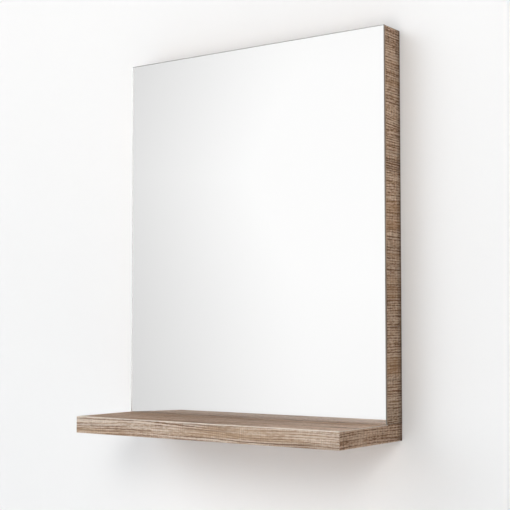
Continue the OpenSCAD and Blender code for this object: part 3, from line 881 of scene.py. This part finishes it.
class DressTape(bpy.types.Operator):
    """Closed-cell foam on the tape between the board and the mirror"""

    bl_idname = "mirror_shelf.tape"
    bl_label = "Mounting tape"

    def execute(self, context):
        colour = context.scene.mirror_fittings.foam
        foam = {"size": 0.0005, "strength": 1.2, "roughness": 0.85, "relief": 0.00015}
        dress("mounting_tape", speckled_material("Foam", colour, **foam))
        return {"FINISHED"}


class DressHangers(bpy.types.Operator):
    """Zinc plating on the keyhole plates"""

    bl_idname = "mirror_shelf.hangers"
    bl_label = "Hanger plates"

    def execute(self, context):
        zinc = context.scene.mirror_fittings.zinc
        rolled = {"drawn": 0.6, "mottle": 0.35, "roughness": 0.32, "grain": "Z"}
        material = metal_material("Zinc plate", zinc, **rolled)
        dress("hanger_plate_left", material)
        dress("hanger_plate_right", material)
        return {"FINISHED"}


class DressScrews(bpy.types.Operator):
    """Zinc plating on all screws"""

    bl_idname = "mirror_shelf.screws"
    bl_label = "Screws"

    def execute(self, context):
        zinc = context.scene.mirror_fittings.zinc
        material = metal_material("Zinc screw", zinc, drawn=0.3, mottle=0.5, roughness=0.28)
        for name in ("hanger_screws", "stiffener_screws", "carrier_screws", "shelf_screws"):
            dress(name, material)
        return {"FINISHED"}


class DressCams(bpy.types.Operator):
    """Cast zinc on the cam housings and bright plating on their bolts"""

    bl_idname = "mirror_shelf.cams"
    bl_label = "Cams and bolts"

    def execute(self, context):
        fit = context.scene.mirror_fittings
        cast = {"drawn": 0.1, "mottle": 1.0, "roughness": 0.42}
        plated = {"drawn": 0.4, "mottle": 0.3, "roughness": 0.25}
        dress("cam_housings", metal_material("Cast zinc", fit.cast, **cast))
        dress("cam_bolts", metal_material("Bolt plating", fit.zinc, **plated))
        return {"FINISHED"}


class DressDowels(bpy.types.Operator):
    """Bare beech on all dowels"""

    bl_idname = "mirror_shelf.dowels"
    bl_label = "Dowels"

    def execute(self, context):
        beech = context.scene.mirror_fittings.beech
        late = tuple(value * 0.8 for value in beech)
        wood = {"ring_width": 0.002, "heart": (0, 0.1, 0.1), "flecks": 1}
        lying = planed_material("Beech", "X", NOWHERE, beech, late, **wood)
        dress("corner_dowels", lying)
        dress("rail_dowels", lying)
        dress("shelf_dowels", planed_material("Beech upright", "Z", NOWHERE, beech, late, **wood))
        return {"FINISHED"}


def painted_material(name):
    """Pale paint that fades into the backdrop far out and is clear from behind."""
    stage = bpy.context.scene.mirror_stage
    material, sheet, shader, place = new_material(name)
    output = material.node_tree.nodes["Material Output"]
    roller = sheet.noise(place, (420, 420, 420), 2)
    colour = sheet.scale_colour(stage.wall[:], sheet.ease(roller, 0.2, 0.8, 0.996, 1.0))
    set_surface(sheet, shader, colour, roughness=0.9, gloss=0.0)
    span = sheet.node("ShaderNodeVectorMath", {0: place}, operation="LENGTH").outputs["Value"]
    rays = sheet.node("ShaderNodeLightPath").outputs
    seen = sheet.math("MAXIMUM", rays["Is Camera Ray"], rays["Is Glossy Ray"])
    seen = sheet.math("MAXIMUM", seen, rays["Is Transmission Ray"])
    far = sheet.times(sheet.ease(span, stage.fade_start, stage.fade_end), seen)
    glow = sheet.node("ShaderNodeEmission", {"Color": opaque(stage.backdrop), "Strength": 1.0})
    front = sheet.node("ShaderNodeMixShader", {0: far, 1: shader.outputs[0], 2: glow.outputs[0]})
    clear = sheet.node("ShaderNodeBsdfTransparent").outputs[0]
    behind = sheet.node("ShaderNodeNewGeometry").outputs["Backfacing"]
    both = sheet.node("ShaderNodeMixShader", {0: behind, 1: front.outputs[0], 2: clear})
    sheet.feed(output.inputs["Surface"], both.outputs[0])
    return material


def stage_piece(name, quads, material):
    """Stage object from quads of corner points."""
    shape = bmesh.new()
    for quad in quads:
        shape.faces.new([shape.verts.new(corner) for corner in quad])
    bmesh.ops.remove_doubles(shape, verts=shape.verts, dist=1e-6)
    piece = new_piece(name, shape, [material])
    return piece


def wall_quads(stage):
    """Wall with an opening behind the frame, and the cove down to the floor."""
    inset = stage.opening_inset
    low, high = cad_bounds
    across = [-stage.reach, low.x + inset, high.x - inset, stage.reach]
    up = [stage.cove - stage.floor_drop, low.z + inset, high.z - inset, stage.head]
    depth = stage.wall_gap
    quads = []
    for i in range(3):
        for j in range(3):
            if i == 1 and j == 1:
                continue
            quads.append(rectangle(across[i], across[i + 1], up[j], up[j + 1], depth))
    steps = 24
    arc = []
    for step in range(steps + 1):
        angle = math.pi / 2 * step / steps
        y = depth - stage.cove * (1 - math.cos(angle))
        z = stage.cove * (1 - math.sin(angle)) - stage.floor_drop
        arc.append((y, z))
    for (y, z), (next_y, next_z) in zip(arc, arc[1:]):
        for left, right in zip(across, across[1:]):
            quads.append([(left, next_y, next_z), (right, next_y, next_z), (right, y, z), (left, y, z)])
    return quads


def floor_quad(stage, near, far, height):
    """Level floor between two depths."""
    reach = stage.reach
    return [(-reach, near, height), (reach, near, height), (reach, far, height), (-reach, far, height)]


# Where each soft light stands: turn to the right and rise in degrees, and how narrow it is.
LEFT_AIM = (-45.1, 18.7, 10)
RIGHT_AIM = (27.9, 22.9, 45)
LOW_AIM = (3.7, -29.2, 22.5)
REAR_AIM = (210, 30, 3)


def lobe(sheet, direction, turn, rise, narrowness, strength):
    """Soft light from one side, at a turn to the right of the wall's own normal and a rise."""
    turn, rise = math.radians(turn), math.radians(rise)
    level = math.cos(rise)
    toward = (math.sin(turn) * level, -math.cos(turn) * level, math.sin(rise))
    facing = sheet.math("MAXIMUM", sheet.dot(direction, toward), 0.0)
    return sheet.times(sheet.math("POWER", facing, narrowness), strength)


class BuildStage(bpy.types.Operator):
    """Pale wall and floor, soft light and the camera"""

    bl_idname = "mirror_shelf.stage"
    bl_label = "Stage"

    def execute(self, context):
        stage = context.scene.mirror_stage
        paint = painted_material("Wall paint")
        stage_piece("wall", wall_quads(stage), paint)
        front_edge = stage.wall_gap - stage.cove
        floor = floor_quad(stage, -stage.reach, front_edge, -stage.floor_drop)
        floor = stage_piece("floor", [floor], paint)
        floor.visible_glossy = False
        floor.visible_transmission = False
        # A millimetre lower, the floor behind the wall stays clear of the cove.
        rear = floor_quad(stage, front_edge, stage.reach, -stage.floor_drop - 0.001)
        stage_piece("floor_behind", [rear], paint)
        self.light_world(context.scene, stage)
        context.scene.view_settings.view_transform = "Standard"
        camera = bpy.data.cameras.new("camera")
        camera.sensor_fit = "HORIZONTAL"
        camera.sensor_width = 36
        camera.lens = stage.lens
        camera.shift_y = stage.lens_shift
        camera.clip_end = 50
        view = bpy.data.objects.new("camera", camera)
        view.location = stage.place
        view.rotation_euler = (math.pi / 2 + stage.tilt, 0, stage.turn)
        context.scene.collection.objects.link(view)
        context.scene.camera = view
        return {"FINISHED"}

    def light_world(self, scene, stage):
        """Soft light for the object, and the pale room that the glass and metal show."""
        world = bpy.data.worlds.new("Studio")
        world.use_nodes = True
        scene.world = world
        sheet = Sheet(world.node_tree)
        backdrop = world.node_tree.nodes["Background"]
        direction = sheet.node("ShaderNodeTexCoord").outputs["Generated"]
        direction = sheet.vector("NORMALIZE", direction)
        x, y, z = sheet.split(direction)[:]
        # What the mirror shows: a pale room that falls off to grey on its left, and is a little
        # darker the further it lies above or below its brightest height.
        brightest = 0.13
        level = sheet.math("SQRT", sheet.minus(1.0001, sheet.times(z, z)))
        left = sheet.math("DIVIDE", sheet.times(x, -1.0), level)
        slope = sheet.math("ABSOLUTE", sheet.minus(z, brightest))
        left = sheet.times_plus(sheet.times(slope, slope), 0.5, left)
        room = sheet.ease(left, 0.54, 0.74, 1.035, 0.655)
        room = sheet.times(room, sheet.times_plus(slope, -0.5, 1.0))
        room = sheet.math("MINIMUM", room, 0.99)
        rear_room = sheet.ease(z, -0.7, 0.8, 0.5, 1.0)
        ahead = sheet.ease(y, 0.05, -0.05)
        room = sheet.blend(ahead, rear_room, room)
        rays = sheet.node("ShaderNodeLightPath").outputs
        shown = sheet.blend(rays["Is Camera Ray"], room, opaque(stage.backdrop))
        # What lights the object.
        front_light = NOWHERE
        for aim, strength, tint in (
            (LEFT_AIM, stage.left_light, stage.left_tint),
            (RIGHT_AIM, stage.right_light, stage.right_tint),
            (LOW_AIM, stage.low_light, stage.low_tint),
        ):
            light = sheet.scale_colour(tint[:], lobe(sheet, direction, *aim, strength))
            front_light = sheet.vector("ADD", front_light, light)
        rear_key = lobe(sheet, direction, *REAR_AIM, stage.rear_key)
        rear_light = sheet.math("ADD", rear_key, stage.rear)
        light = sheet.blend(ahead, rear_light, front_light)
        # After a diffuse bounce every ray meets the lights and not the room.
        seen = sheet.math("MAXIMUM", rays["Is Glossy Ray"], rays["Is Transmission Ray"])
        seen = sheet.times(seen, sheet.math("LESS_THAN", rays["Diffuse Depth"], 0.5))
        seen = sheet.math("MAXIMUM", seen, rays["Is Camera Ray"])
        sheet.feed(backdrop.inputs["Color"], sheet.blend(seen, light, shown))
        backdrop.inputs["Strength"].default_value = 1.0


class MirrorShelfPanel(bpy.types.Panel):
    """Steps that finish the mirror with shelf"""

    bl_idname = "VIEW3D_PT_mirror_shelf"
    bl_label = "Mirror with shelf"
    bl_space_type = "VIEW_3D"
    bl_region_type = "UI"
    bl_category = "Mirror"

    def draw(self, context):
        for operator in OPERATORS:
            self.layout.operator(operator.bl_idname)


SETTINGS = {
    "mirror_oak": OakSettings,
    "mirror_glass": MirrorSettings,
    "mirror_fittings": FittingSettings,
    "mirror_stage": StageSettings,
}
OPERATORS = (
    DressSides,
    DressPanels,
    DressShelf,
    DressRails,
    DressCarrier,
    BuildPane,
    DressTape,
    DressHangers,
    DressScrews,
    DressCams,
    DressDowels,
    BuildStage,
)


def register():
    for name, settings in SETTINGS.items():
        bpy.utils.register_class(settings)
        setattr(bpy.types.Scene, name, bpy.props.PointerProperty(type=settings))
    for operator in OPERATORS:
        bpy.utils.register_class(operator)
    bpy.utils.register_class(MirrorShelfPanel)


def unregister():
    bpy.utils.unregister_class(MirrorShelfPanel)
    for operator in reversed(OPERATORS):
        bpy.utils.unregister_class(operator)
    for name, settings in reversed(list(SETTINGS.items())):
        delattr(bpy.types.Scene, name)
        bpy.utils.unregister_class(settings)


def main():
    """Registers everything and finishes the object."""
    register()
    bpy.ops.mirror_shelf.sides()
    bpy.ops.mirror_shelf.panels()
    bpy.ops.mirror_shelf.shelf()
    bpy.ops.mirror_shelf.rails()
    bpy.ops.mirror_shelf.carrier()
    bpy.ops.mirror_shelf.pane()
    bpy.ops.mirror_shelf.tape()
    bpy.ops.mirror_shelf.hangers()
    bpy.ops.mirror_shelf.screws()
    bpy.ops.mirror_shelf.cams()
    bpy.ops.mirror_shelf.dowels()
    bpy.ops.mirror_shelf.stage()


if __name__ == "__main__":
    main()
